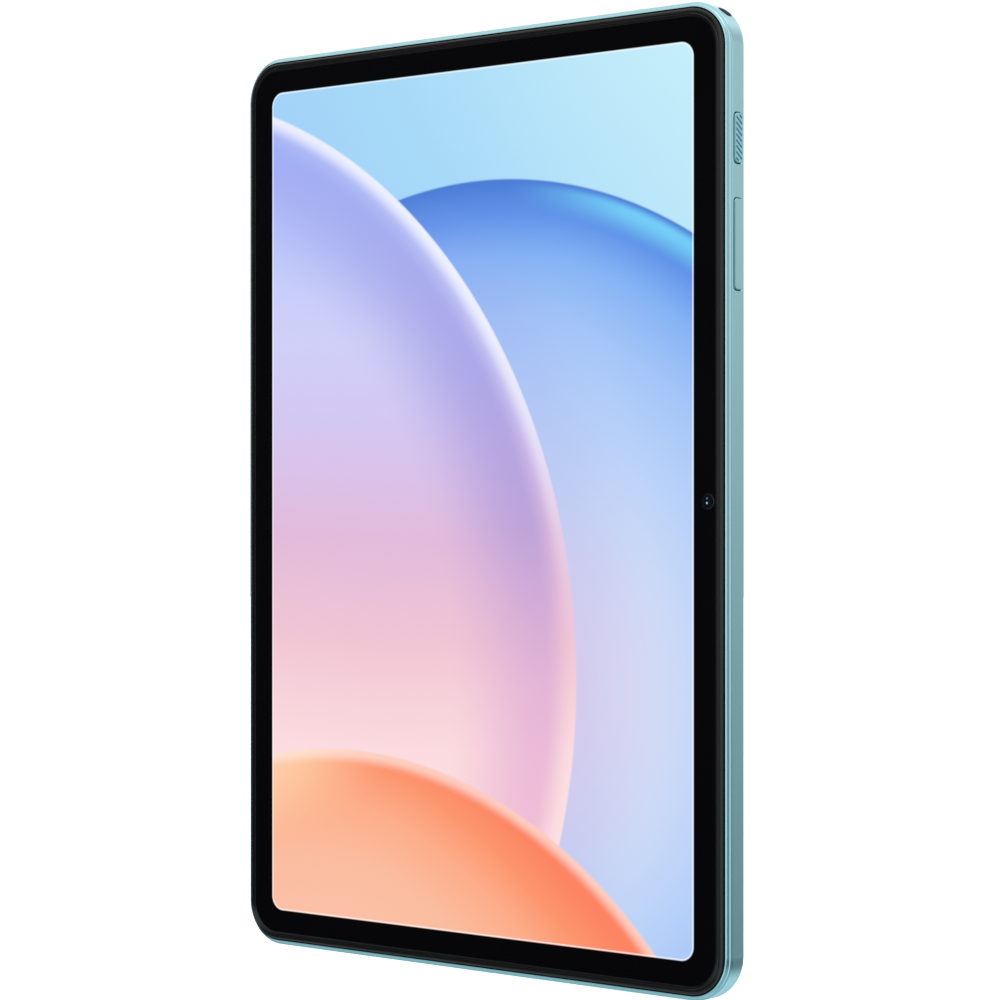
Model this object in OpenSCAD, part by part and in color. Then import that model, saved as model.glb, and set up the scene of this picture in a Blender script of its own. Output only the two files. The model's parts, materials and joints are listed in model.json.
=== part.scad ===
// Tablet computer: portrait slab, screen facing -Y, long axis along Z.
// Origin at the centre of the flat back face; +X is the side with the keys.

/* [Body] */
// Width of the housing across the short side
body_w = 148.8; // [146:0.1:152]
// Height of the housing along the long side
body_h = 226.5; // [224:0.1:230]
// Thickness from the glass to the flat back
body_t = 7.4; // [7.3:0.1:7.8]
// Radius of the outline's four corners
corner_r = 10.7; // [10.2:0.1:11.5]
// Radius of the edge where the side meets the back
back_edge_r = 1.4; // [1:0.1:1.5]
// Width of the metal lip between the outline and the black bezel
lip_w = 1.5; // [1.4:0.05:1.7]
// Thickness of the back wall
floor_t = 0.7; // [0.65:0.05:0.75]

/* [Display] */
// Width of the lit picture area
screen_w = 130.2; // [128:0.1:131]
// Height of the lit picture area
screen_h = 208.3; // [206:0.1:209]
// Thickness of the cover glass
glass_t = 0.6; // [0.5:0.05:0.65]
// Thickness of the liquid crystal cell
cell_t = 0.65; // [0.5:0.05:0.7]
// Thickness of the backlight unit
backlight_t = 1.2; // [1:0.05:1.25]

/* [Keys] */
// Length of the power key
power_len = 11.8; // [10:0.1:14]
// Height of the power key's centre above the middle of the body
power_z = 81.8; // [78:0.1:84]
// Length of the volume key
volume_len = 21.2; // [18:0.1:24]
// Height of the volume key's centre above the middle of the body
volume_z = 58; // [55:0.1:60]
// Width of both keys
key_w = 3.2; // [2.9:0.1:3.3]
// How far both keys stand out of the side
key_proud = 0.3; // [0.25:0.05:0.45]
// Number of slanted grooves in the power key
groove_count = 9; // [5:1:11]

/* [Sockets and cameras] */
// Radius of the headphone socket's bore
jack_r = 1.8; // [1.76:0.01:1.85]
// Direction of the headphone socket in its corner, up from the key side
jack_angle = 50; // [45:1:52]
// Depth of the headphone socket's bore
jack_len = 14; // [13:0.5:14.5]
// Sideways place of the rear camera
camera_x = 52.5; // [46:0.5:54]
// Height of the rear camera above the middle of the body
camera_z = 91.5; // [84:0.5:93]
// Radius of the raised ring round the rear camera
camera_ring_r = 9.2; // [8.6:0.1:10]
// How far the camera ring stands out of the back
camera_ring_h = 1.3; // [1:0.1:2]
// Height of the card tray's centre above the middle of the body
tray_z = 84; // [80:0.5:86]

/* [Hidden] */
$fn = 48;

half_w = body_w / 2;
half_h = body_h / 2;
// Depth below the glass where the metal lip starts, and where the flat side starts
lip_depth = 0.68;
side_depth = 2.1;
// Rebate in the wall's front that the bezel's rim lies in
rebate_w = 0.35;
rebate_depth = 1.85;
// The cavity's wall, behind the rebate
cavity_w = body_w - 2 * lip_w;
cavity_h = body_h - 2 * lip_w;
cavity_r = corner_r - lip_w;
floor_y = -floor_t;
// Running gap between the black bezel and the lip
seam = 0.08;
// Flat glass stops short of the bezel's rounded shoulder
shoulder_w = 1.93;
glass_w = cavity_w - 2 * shoulder_w;
glass_h = cavity_h - 2 * shoulder_w;
glass_r = cavity_r - shoulder_w;
glass_back_y = -body_t + glass_t;
adhesive_t = 0.15;
cell_y = glass_back_y + adhesive_t;
backlight_y = cell_y + cell_t;
inside_y = backlight_y + backlight_t;
// The display stack stands off-centre to leave room for its driver along the lower edge
cell_w = screen_w + 2.4;
cell_top = screen_h / 2 + 1.3;
cell_low = -screen_h / 2 - 4.3;
frame_back_y = -4.5;
frame_gap = 0.6;

front_cam_x = 68.86;
sensor_z = 12;

key_y = -3.25;
key_gap = 0.12;
key_travel = 0.2;
key_flange_t = 0.5;
key_flange_lip = 0.5;
// The rocking volume key's flange needs more room behind the wall than the power key's
flange_gap = 0.1;
rocker_flange_gap = 0.25;
flange_x = half_w - lip_w - flange_gap - key_flange_t;
nub_len = 0.8;
volume_nub_z = 7.2;
switch_face_x = flange_x - nub_len - key_travel - 0.1;
key_flex_y = [-4.2, -4.05];
groove_pitch = 1.36;
groove_w = 0.5;
groove_depth = 0.2;
groove_slant = 56;
key_rim = 0.4;

port_y = -2.85;
corner_cx = half_w - corner_r;
corner_cz = half_h - corner_r;
jack_body_w = 5.6;
jack_body_y = [-4.72, -0.76];
jack_nose_r = 2.2;
usb_w = 8.94;
usb_t = 3.26;
usb_wall = 0.3;
usb_len = 7.9;
usb_mouth_z = -half_h + 0.3;
tongue_w = 6.69;
tongue_t = 0.7;

tray_y = -2.9;
tray_face_len = 15.2;
tray_face_w = 2.3;
tray_face_t = 0.9;
tray_face_z = tray_z - 0.4;
tray_gap = 0.1;
tray_body_len = 19;
tray_body_w = 12.4;
tray_body_t = 0.9;
tray_body_y = -2.95;
card_w = 11.1;
card_len = 15.1;
pinhole_r = 0.45;
pinhole_z = tray_face_z - tray_face_len / 2 + tray_face_w / 2;
tray_end_x = -half_w + tray_face_t + tray_body_len;
lever_arm = 4.4;
lever_x = tray_end_x + 2;
lever_z = pinhole_z + lever_arm;

board_t = 0.8;
board_y = [-0.9 - board_t, -0.9];
board_x = [-69, 40.5];
board_z = [67, 100];
boss_r = 1.6;
screw_r = 0.62;
screw_head_r = 1.25;
board_screw_spots = [[-66.5, 69.5], [-45, 97.5], [14.5, 69.5], [38, 97.5], [38, 69.5]];
lower_board_x = [-20, 54];
lower_board_z = [-109.5, -95];
lower_screw_spots = [[-17.5, -97.5], [51.5, -106.5], [12, -107]];

cell_size = [56, 3.2, 136];
battery_z = -10;
battery_x = [-32, 27];
tape_t = 0.2;
fence_t = 0.7;
fence_x = [battery_x[0] - cell_size[0] / 2 - 0.5, battery_x[1] + cell_size[0] / 2 + 0.5];
fence_z = [battery_z - cell_size[2] / 2 - 0.5, battery_z + cell_size[2] / 2 - 8];

speaker_x = -43.5;
speaker_w = 37;
speaker_y = [-4.45, -0.8];
speaker_wall = 0.4;
upper_speaker_z = [101.2, 111.6];
lower_speaker_z = [-111.6, -97];
cone_size = [24, 0.3, 7.6];
cone_y = -3.6;
grille_count = 7;
grille_pitch = 3;
grille_r = 0.65;

mic_r = 0.5;
upper_mic_hole_x = 66.2;
upper_mic_x = 62.8;
mic_y = -3.6;
lower_mic_x = 30;
lower_mic_y = -2.3;
mic_size = [2.75, 0.9, 1.85];

window_w = 74;
window_h = 7;
window_z = 105.5;

mint = [0.6, 0.78, 0.81];
black = [0.05, 0.05, 0.06];
steel = [0.72, 0.73, 0.75];
board_green = [0.08, 0.3, 0.2];
amber = [0.75, 0.45, 0.12];

// ---- shared shapes ----

// Outline with four round corners, centred
module round_rect(w, h, r) {
    square([w - 2 * r, h], center = true);
    square([w, h - 2 * r], center = true);
    for (sx = [-1, 1], sz = [-1, 1])
        translate([sx * (w / 2 - r), sz * (h / 2 - r)]) circle(r, $fn = 64);
}

// Outline with two full round ends, long way along the second axis
module slot_shape(len, w) {
    square([w, len - w], center = true);
    for (s = [-1, 1])
        translate([0, s * (len - w) / 2]) circle(w / 2);
}

// Extrudes an outline drawn in X and Z between two Y places
module slab(y0, y1) {
    translate([0, y1, 0]) rotate([90, 0, 0]) linear_extrude(y1 - y0) children();
}

// Box given by its limits along each axis
module block(xs, ys, zs) {
    translate([xs[0], ys[0], zs[0]])
        cube([xs[1] - xs[0], ys[1] - ys[0], zs[1] - zs[0]]);
}

// Round bar along Y between two places
module post(x, z, r, y0, y1) {
    translate([x, y1, z]) rotate([90, 0, 0]) cylinder(r = r, h = y1 - y0);
}

// Carries a profile drawn as (distance out from the corner centre, Y) round an outline
module edge_sweep(w, h, r) {
    for (k = [0:3]) {
        sx = (k == 0 || k == 3) ? 1 : -1;
        sz = (k >= 2) ? 1 : -1;
        translate([sx * (w / 2 - r), 0, sz * (h / 2 - r)])
            rotate([-90, 0, 0]) rotate([0, 0, 90 * k])
            rotate_extrude(angle = 90, $fn = 96) children();
    }
    for (m = [0, 1]) {
        mirror([m, 0, 0]) translate([w / 2 - r, 0, 0])
            linear_extrude(h - 2 * r, center = true) children();
        mirror([0, 0, m]) translate([0, 0, h / 2 - r]) rotate([0, -90, 0])
            linear_extrude(w - 2 * r, center = true) children();
    }
}

// Slot outline pushed through the side wall between two X places
module side_slot(len, w, x0, x1, y, z) {
    translate([x0, y, z]) rotate([0, 90, 0]) rotate([0, 0, 90])
        linear_extrude(x1 - x0) slot_shape(len, w);
}

// Points along a quarter arc, from start angle over sweep degrees
function arc_points(cx, cy, r, from, sweep, n) =
    [for (i = [0:n]) [cx + r * cos(from + sweep * i / n), cy + r * sin(from + sweep * i / n)]];

// Moves children to the headphone corner, with +Z pointing out of the socket
module at_jack() {
    translate([corner_cx, port_y, corner_cz])
        rotate([0, 90 - jack_angle, 0]) children();
}

// ---- housing and screen ----

// Section of the metal wall with its stepped lip and rounded back edge
module wall_section() {
    top = -body_t + lip_depth;
    polygon(concat(
        [[cavity_r, floor_y], [cavity_r, -body_t + rebate_depth],
         [cavity_r + rebate_w, -body_t + rebate_depth], [cavity_r + rebate_w, top],
         [corner_r - 0.78, top + 0.14], [corner_r - 0.56, top + 0.6],
         [corner_r - 0.18, top + 0.76], [corner_r, -body_t + side_depth]],
        arc_points(corner_r - back_edge_r, -back_edge_r, back_edge_r, 0, 90, 7),
        [[cavity_r - 1.4, 0], [cavity_r - 1.4, floor_y]]));
}

module boss(spot) {
    post(spot[0], spot[1], boss_r, board_y[1], floor_y + 0.1);
}

module rear_housing() color(mint) difference() {
    union() {
        edge_sweep(body_w, body_h, corner_r) wall_section();
        slab(floor_y, 0) round_rect(cavity_w - 1.6, cavity_h - 1.6, cavity_r - 0.8);
        for (spot = concat(board_screw_spots, lower_screw_spots)) boss(spot);
        // Rails that fence the battery at its sides and lower end
        block([fence_x[0] - fence_t, fence_x[1] + fence_t], [-2.5, floor_y + 0.1],
              [fence_z[0] - fence_t, fence_z[0]]);
        block([fence_x[0] - fence_t, fence_x[0]], [-2.5, floor_y + 0.1], fence_z);
        block([fence_x[1], fence_x[1] + fence_t], [-2.5, floor_y + 0.1], fence_z);
    }
    for (spot = concat(board_screw_spots, lower_screw_spots))
        post(spot[0], spot[1], screw_r + 0.03, -1.5, -0.25);
    side_slot(power_len + 2 * key_gap, key_w + 2 * key_gap,
              half_w - lip_w - 1, half_w + 1, key_y, power_z);
    side_slot(volume_len + 2 * key_gap, key_w + 2 * key_gap,
              half_w - lip_w - 1, half_w + 1, key_y, volume_z);
    side_slot(tray_face_len + 2 * tray_gap, tray_face_w + 2 * tray_gap,
              -half_w - 1, -half_w + lip_w + 1, tray_y, tray_face_z);
    at_jack() translate([0, 0, corner_r - 4]) cylinder(r = jack_nose_r + 0.05, h = 2.7);
    at_jack() translate([0, 0, corner_r - 2]) cylinder(r = jack_r + 0.2, h = 4);
    translate([0, port_y, -half_h - 1]) rotate([0, 0, 90])
        linear_extrude(lip_w + 2) slot_shape(usb_w + 0.3, usb_t + 0.3);
    for (s = [-1, 1], i = [0:grille_count - 1])
        translate([speaker_x + (i - (grille_count - 1) / 2) * grille_pitch, port_y,
                   s * (half_h - lip_w / 2) - lip_w])
            cylinder(r = grille_r, h = 2 * lip_w);
    translate([upper_mic_hole_x, mic_y, half_h - lip_w - 2]) cylinder(r = mic_r, h = 6);
    translate([lower_mic_x, lower_mic_y, -half_h - 1]) cylinder(r = mic_r, h = lip_w + 2);
    post(camera_x, camera_z, camera_ring_r - 1.75, -2, 1);
    slab(-0.45, 1) translate([0, window_z]) round_rect(window_w + 0.1, window_h + 0.1, 3);
    slab(-2, 0) translate([0, window_z]) round_rect(window_w - 6, window_h - 3, 1.5);
}

// Painted plastic panel that lets the radio signals out of the metal back
module antenna_window() color(mint * 0.97) union() {
    slab(-0.45, 0) translate([0, window_z]) round_rect(window_w, window_h, 2.95);
    slab(-0.65, -0.4) translate([0, window_z]) round_rect(window_w - 6.2, window_h - 3.2, 1.4);
}

// Section of the black frame's outer shoulder, round on its front edge
module bezel_section() {
    out = cavity_r - seam;
    inner = glass_r + 0.06;
    rim_back = -body_t + rebate_depth - seam;
    polygon([[glass_r - 4, cell_y], [inner, cell_y], [inner, -body_t],
             [inner + 0.35, -body_t + 0.05], [inner + 0.85, -body_t + 0.16],
             [inner + 1.35, -body_t + 0.29], [inner + 1.7, -body_t + 0.42],
             [inner + 1.9, -body_t + 0.72], [out + rebate_w, -body_t + lip_depth + 0.2],
             [out + rebate_w, rim_back], [out, rim_back], [out, frame_back_y],
             [glass_r - 4, frame_back_y]]);
}

module bezel_frame() color(black) difference() {
    edge_sweep(body_w, body_h, corner_r) bezel_section();
    block([-cell_w / 2 - frame_gap, cell_w / 2 + frame_gap], [-body_t - 1, 0],
          [cell_low - frame_gap / 2, cell_top + frame_gap]);
    // Pockets for the front camera and the light sensor
    block([cell_w / 2, front_cam_x + 2.35], [cell_y - 0.1, 0], [-2.35, 2.35]);
    block([cell_w / 2, front_cam_x + 1.3], [cell_y - 0.1, 0], [sensor_z - 1.3, sensor_z + 1.3]);
    // Clearance over the headphone socket, and round the keys' flanges
    at_jack() block([-jack_body_w / 2 - 0.2, jack_body_w / 2 + 0.2],
                    [jack_body_y[0] - port_y - 0.15, 5], [-6, 11]);
    block([switch_face_x, half_w], [key_y - key_w / 2 - key_flange_lip - 0.15, 0],
          [volume_z - volume_len / 2 - 1, power_z + power_len / 2 + 1]);
}

module cover_glass() color([0.02, 0.02, 0.03])
    slab(-body_t, glass_back_y) round_rect(glass_w, glass_h, glass_r);

// Ring of clear adhesive that bonds the glass to the frame and the cell
module glass_adhesive() color([0.2, 0.2, 0.22]) difference() {
    slab(glass_back_y, cell_y) round_rect(glass_w - 0.4, glass_h - 0.4, glass_r - 0.2);
    slab(glass_back_y - 1, cell_y + 1) square([screen_w - 1, screen_h - 1], center = true);
    post(front_cam_x, 0, 1.9, glass_back_y - 1, cell_y + 1);
    post(front_cam_x, sensor_z, 1, glass_back_y - 1, cell_y + 1);
}

module lcd_cell() color([0.15, 0.2, 0.35])
    block([-cell_w / 2, cell_w / 2], [cell_y, backlight_y], [cell_low, cell_top]);

module backlight_unit() color([0.85, 0.86, 0.88])
    block([-cell_w / 2 + 0.2, cell_w / 2 - 0.2], [backlight_y, inside_y],
          [cell_low + 3, cell_top - 0.2]);

// Ribbon from the lower edge of the cell, folded behind the backlight
module display_flex() color(amber) union() {
    block([-14, 14], [backlight_y, -4.57], [cell_low + 0.3, cell_low + 0.6]);
    block([-14, 14], [-4.72, -4.57], [cell_low + 0.3, -96]);
    block([-9, 9], [-4.72, board_y[0]], [-96.15, -96]);
}

// ---- keys ----

// Key cap: body in the slot, chamfered face, and a flange behind the wall
module key_cap(len, z, gap) {
    inner_x = half_w - lip_w - gap - key_flange_t;
    side_slot(len, key_w, inner_x, half_w + key_proud - 0.15, key_y, z);
    side_slot(len - 0.25, key_w - 0.25, half_w, half_w + key_proud, key_y, z);
    side_slot(len + 2 * key_flange_lip, key_w + 2 * key_flange_lip,
              inner_x, inner_x + key_flange_t, key_y, z);
}

module nub(z) {
    translate([flange_x - nub_len, key_y, z]) rotate([0, 90, 0])
        cylinder(r = 0.8, h = nub_len + 0.1);
}

module power_button() color(mint) difference() {
    union() {
        key_cap(power_len, power_z, flange_gap);
        nub(power_z);
    }
    intersection() {
        side_slot(power_len - 2 * key_rim, key_w - 2 * key_rim, half_w,
                  half_w + 2, key_y, power_z);
        for (i = [0:groove_count - 1])
            translate([half_w + key_proud - groove_depth, key_y,
                       power_z + (i - (groove_count - 1) / 2) * groove_pitch])
                rotate([groove_slant, 0, 0])
                translate([0, -groove_w / 2, -key_w]) cube([1, groove_w, 2 * key_w]);
    }
}

module volume_button() color(mint) union() {
    key_cap(volume_len, volume_z, rocker_flange_gap);
    for (s = [-1, 1]) nub(volume_z + s * volume_nub_z);
}

// Steel strip screwed inside the wall that backs the key switches
module key_bracket() color(steel) union() {
    block([switch_face_x - 1.6, switch_face_x - 1.2], [key_flex_y[1], floor_y], [43, 92]);
    block([switch_face_x - 5, switch_face_x - 1.3], [floor_y - 0.35, floor_y], [46, 52]);
    block([switch_face_x - 5, switch_face_x - 1.3], [floor_y - 0.35, floor_y], [65, 71]);
}

// Three press switches on the key ribbon
module key_switches() color(steel)
    for (z = [power_z, volume_z - volume_nub_z, volume_z + volume_nub_z]) {
        block([switch_face_x - 1.05, switch_face_x - 0.3],
              [key_y - 1.1, key_y + 1.1], [z - 1.6, z + 1.6]);
        translate([switch_face_x - 0.35, key_y, z]) rotate([0, 90, 0])
            cylinder(r = 1, h = 0.35);
    }

// Ribbon from the main board to the key switches and the upper microphone
module key_flex() color(amber) union() {
    block([switch_face_x - 1.2, switch_face_x - 1.05], [-4.2, -0.8], [44, 91]);
    block([40.7, switch_face_x - 1.1], key_flex_y, [72, 76]);
    block([38, 40.85], [key_flex_y[0], -1.75], [72, 76]);
    block([57, 58.1], key_flex_y, [75.9, 110.2]);
    block([58, upper_mic_x + mic_size[0] / 2], key_flex_y, [109.2, 110.2]);
}

// ---- card tray and its eject parts ----

module card_tray() color(mint) difference() {
    union() {
        side_slot(tray_face_len, tray_face_w, -half_w, -half_w + tray_face_t,
                  tray_y, tray_face_z);
        block([-half_w + tray_face_t - 0.1, tray_end_x],
              [tray_body_y, tray_body_y + tray_body_t],
              [tray_z - tray_body_w / 2, tray_z + tray_body_w / 2]);
    }
    block([tray_end_x - 1.2 - card_len, tray_end_x - 1.2],
          [tray_body_y - 1, tray_body_y + 0.72],
          [tray_z - card_w / 2, tray_z + card_w / 2]);
    block([tray_end_x - card_len + 1, tray_end_x - 3],
          [tray_body_y - 1, tray_body_y + 2],
          [tray_z - card_w / 2 + 1, tray_z + card_w / 2 - 1]);
    translate([-half_w - 1, tray_y, pinhole_z]) rotate([0, 90, 0])
        cylinder(r = pinhole_r, h = 3);
}

module card_socket() color(steel) difference() {
    block([-71.5, lever_x + 2.4], [-3.35, board_y[0]], [pinhole_z - 0.9, 91.2]);
    // Tunnel for the tray
    block([-72, lever_x + 0.1], [-3.15, -1.85],
          [tray_z - tray_body_w / 2 - 0.2, tray_z + tray_body_w / 2 + 0.2]);
    // Groove for the eject rod, and room for the lever
    block([-72, tray_end_x + 0.3], [-3.15, -1.85], [pinhole_z - 0.65, pinhole_z + 1]);
    block([tray_end_x - 0.4, lever_x + 2.2], [-3.15, -1.85], [pinhole_z - 0.65, 90.4]);
}

module eject_rod() color(steel)
    block([-72.6, lever_x - 0.7], [-2.8, -2.1], [pinhole_z - 0.5, pinhole_z + 0.45]);

// Bell crank that turns the rod's push into a push on the tray
module eject_lever() color(steel) difference() {
    union() {
        post(lever_x, lever_z, 0.8, -2.85, -2.1);
        block([lever_x - 0.45, lever_x + 0.45], [-2.85, -2.1],
              [pinhole_z - 0.3, lever_z + 3.6]);
        post(lever_x, pinhole_z, 0.5, -2.85, -2.1);
        post(lever_x, lever_z + 3.4, 0.5, -2.85, -2.1);
    }
    post(lever_x, lever_z, 0.4, -4, 0);
}

// ---- cameras and sensor ----

module camera_ring() color(mint) difference() {
    union() {
        post(camera_x, camera_z, camera_ring_r - 1.8, floor_y, 0.05);
        post(camera_x, camera_z, camera_ring_r, 0, 0.6 * camera_ring_h);
        post(camera_x, camera_z, camera_ring_r - 0.8, 0.5 * camera_ring_h, camera_ring_h);
    }
    post(camera_x, camera_z, camera_ring_r - 3, -2, 3);
    post(camera_x, camera_z, camera_ring_r - 2.1, camera_ring_h - 0.7, 3);
}

module camera_glass() color(black)
    post(camera_x, camera_z, camera_ring_r - 2.15, camera_ring_h - 0.68, camera_ring_h - 0.15);

module rear_camera() color([0.1, 0.1, 0.11]) difference() {
    union() {
        block([camera_x - 4.25, camera_x + 4.25], [-4.6, -1.1], [camera_z - 4.25, camera_z + 4.25]);
        post(camera_x, camera_z, 3.2, -1.2, 0.35);
    }
    post(camera_x, camera_z, 1.9, -0.6, 1);
}

module rear_camera_lens() color([0.1, 0.15, 0.35])
    translate([camera_x, -0.55, camera_z]) rotate([-90, 0, 0]) union() {
        cylinder(r = 1.85, h = 0.4);
        translate([0, 0, 0.4]) rotate_extrude() intersection() {
            translate([0, -3.2]) circle(3.7, $fn = 96);
            square([1.85, 1]);
        }
    }

module rear_camera_flex() color(amber) union() {
    block([40.9, camera_x - 4.25], [-4.55, -4.4], [87, 95]);
    block([38.5, 41], [-4.55, -1.75], [87, 95]);
}

// Foam ring between the camera and the inside of its glass
module camera_gasket() color([0.12, 0.12, 0.12]) difference() {
    post(camera_x, camera_z, 5.9, 0.1, camera_ring_h - 0.7);
    post(camera_x, camera_z, 3.4, -1, 3);
}

module front_camera() color([0.1, 0.1, 0.11]) difference() {
    union() {
        block([front_cam_x - 2.1, front_cam_x + 2.1], [-5.9, -3.7], [-2.1, 2.1]);
        post(front_cam_x, 0, 1.7, cell_y - 0.1, -5.8);
    }
    post(front_cam_x, 0, 1.15, -8, -6.2);
}

module front_camera_lens() color([0.1, 0.2, 0.5])
    post(front_cam_x, 0, 1.12, cell_y, -6.2);

module light_sensor() color([0.3, 0.3, 0.32])
    block([front_cam_x - 1, front_cam_x + 1], [cell_y + 0.05, cell_y + 0.85],
          [sensor_z - 1, sensor_z + 1]);

// ---- boards and electronics ----

module screw_holes(spots) {
    for (spot = spots) post(spot[0], spot[1], screw_r + 0.13, -3, 0);
}

module main_board() color(board_green) difference() {
    block(board_x, board_y, board_z);
    screw_holes(board_screw_spots);
}

// Thin pressed can, open towards the board
module shield_can(xs, zs) {
    wall = 0.2;
    difference() {
        block(xs, [-3.6, board_y[0]], zs);
        block([xs[0] + wall, xs[1] - wall], [-3.6 + wall, 0], [zs[0] + wall, zs[1] - wall]);
    }
}

module chip(x, z, w, h, t) {
    block([x - w / 2, x + w / 2], [board_y[0] - t, board_y[0]], [z - h / 2, z + h / 2]);
}

module processor_shield() color(steel) shield_can([-20, 11], [72, 97]);
module power_shield() color(steel) shield_can([17, 35.5], [72, 97]);
module radio_shield() color(steel) shield_can([-44, -24], [70, 94]);
module processor_chip() color(black) chip(-10.5, 84.5, 14, 14, 1);
module memory_chip() color(black) chip(4.5, 84.5, 11.5, 13, 1);
module power_chip() color(black) chip(26, 84.5, 7, 7, 0.8);
module radio_chip() color(black) chip(-34, 82, 6, 6, 0.8);
module thermal_pad() color([0.45, 0.6, 0.75])
    block([-17, -4], [-3.4, board_y[0] - 1], [78, 91]);

// Heat spreading sheet between the boards and the screen
module graphite_sheet() color([0.2, 0.2, 0.21])
    block([-48, 36], [inside_y, inside_y + 0.08], [-76, 99]);

module lower_board() color(board_green) difference() {
    block(lower_board_x, board_y, lower_board_z);
    block([-usb_w / 2 - 0.2, usb_w / 2 + 0.2], [-5, 0], [-120, usb_mouth_z + usb_len + 0.1]);
    screw_holes(lower_screw_spots);
}

module usb_oval(w, t, z0, z1) {
    translate([0, port_y, z0]) linear_extrude(z1 - z0)
        rotate([0, 0, 90]) slot_shape(w, t);
}

module usb_shell() color(steel) difference() {
    usb_oval(usb_w, usb_t, usb_mouth_z, usb_mouth_z + usb_len);
    usb_oval(usb_w - 2 * usb_wall, usb_t - 2 * usb_wall, usb_mouth_z - 1,
             usb_mouth_z + usb_len - 1.4);
}

module usb_tongue() color(black)
    block([-tongue_w / 2, tongue_w / 2], [port_y - tongue_t / 2, port_y + tongue_t / 2],
          [usb_mouth_z + 0.7, usb_mouth_z + usb_len - 1.4]);

// Socket body lying along the corner's diagonal, with a collar in the wall
module headphone_jack() color([0.12, 0.12, 0.13]) at_jack() difference() {
    union() {
        block([-jack_body_w / 2, jack_body_w / 2],
              [jack_body_y[0] - port_y, jack_body_y[1] - port_y],
              [corner_r - 1.5 - jack_len, corner_r - 3.6]);
        intersection() {
            translate([0, 0, corner_r - 5]) cylinder(r = jack_nose_r, h = 3.6);
            block([-9, 9], [jack_body_y[0] - port_y, jack_body_y[1] - port_y], [0, 20]);
        }
    }
    translate([0, 0, corner_r - 0.9 - jack_len]) cylinder(r = jack_r, h = 20);
    for (s = [-1, 1])
        block([s * (jack_body_w / 2 - 0.5) - 0.8, s * (jack_body_w / 2 - 0.5) + 0.8],
              [-0.5, 0.5], [corner_r - 9.2, corner_r - 5.8]);
}

module jack_contacts() color([0.85, 0.7, 0.35]) at_jack()
    for (s = [-1, 1])
        block([s * (jack_body_w / 2 - 0.45) - 0.15, s * (jack_body_w / 2 - 0.45) + 0.15],
              [-0.4, 0.4], [corner_r - 9, corner_r - 6]);

// ---- battery ----

module battery_cell(i) {
    translate([battery_x[i], 0, battery_z]) rotate([90, 0, 0])
        translate([0, 0, tape_t - floor_y]) linear_extrude(cell_size[1])
        round_rect(cell_size[0], cell_size[2], 1.5);
}

module battery_cell_left() color([0.25, 0.26, 0.28]) battery_cell(0);
module battery_cell_right() color([0.25, 0.26, 0.28]) battery_cell(1);

module battery_board() color(board_green)
    block([-28, 24], [-3, -2.2], [58.1, 60.6]);

module battery_tapes() color([0.9, 0.9, 0.92])
    for (x = battery_x, s = [-1, 1])
        block([x + s * 15 - 6, x + s * 15 + 6], [floor_y - tape_t, floor_y],
              [battery_z - 60, battery_z + 60]);

module battery_flex() color(amber) union() {
    block([-8, -2], [-2.2, -2.05], [59, 66.3]);
    block([-8, -2], [-2.2, -1.75], [66.2, 66.35]);
    block([-8, -2], [-1.9, -1.75], [66.3, 71]);
}

// Ribbon that joins the two boards along the key side of the battery
module board_link_flex() color(amber) union() {
    block([57, 61], [-1.9, -1.75], [-93, 64]);
    block([48, 61], [-1.9, -1.75], [-98, -92.8]);
    block([36, 61], [-1.9, -1.75], [63.9, 68]);
}

// ---- sound ----

// Hollow speaker box with a sound port towards the wall; dir is +1 for the upper edge
module speaker_box(zs, dir) {
    difference() {
        block([speaker_x - speaker_w / 2, speaker_x + speaker_w / 2], speaker_y, zs);
        block([speaker_x - speaker_w / 2 + 1, speaker_x + speaker_w / 2 - 1],
              [speaker_y[0] + speaker_wall, speaker_y[1] - speaker_wall],
              [zs[0] + 0.8, zs[1] - 0.8]);
        block([speaker_x - 10.5, speaker_x + 10.5], [port_y - 0.9, port_y + 0.9],
              dir > 0 ? [zs[1] - 2, zs[1] + 1] : [zs[0] - 1, zs[0] + 2]);
    }
}

// Stiff oval diaphragm with its voice coil
module speaker_cone(z) {
    translate([speaker_x, 0, z]) union() {
        slab(cone_y - cone_size[1] / 2, cone_y + cone_size[1] / 2)
            rotate([0, 0, 90]) slot_shape(cone_size[0], cone_size[2]);
        difference() {
            post(0, 0, 2.6, cone_y, cone_y + 1);
            post(0, 0, 2.3, cone_y + 0.1, 5);
        }
    }
}

function mid(pair) = (pair[0] + pair[1]) / 2;

module upper_speaker_box() color(black) speaker_box(upper_speaker_z, 1);
module lower_speaker_box() color(black) speaker_box(lower_speaker_z, -1);
module upper_speaker_cone() color([0.3, 0.3, 0.32]) speaker_cone(mid(upper_speaker_z));
module lower_speaker_cone() color([0.3, 0.3, 0.32]) speaker_cone(mid(lower_speaker_z));

module speaker_magnets() color(steel)
    for (z = [mid(upper_speaker_z), mid(lower_speaker_z)])
        block([speaker_x - 10, speaker_x + 10], [-2.15, speaker_y[1] - speaker_wall],
              [z - 3.6, z + 3.6]);

module speaker_meshes() color([0.2, 0.2, 0.2])
    for (s = [-1, 1])
        block([speaker_x - 11, speaker_x + 11], [port_y - 1.2, port_y + 1.2],
              s > 0 ? [111.6, 111.74] : [-111.74, -111.6]);

module upper_microphone() color(steel)
    translate([upper_mic_x, mic_y, 109.4]) cube(mic_size, center = true);

module lower_microphone() color(steel)
    block([lower_mic_x - mic_size[0] / 2, lower_mic_x + mic_size[0] / 2],
          [board_y[0] - mic_size[1], board_y[0]], [-109.3, -107.4]);

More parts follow.
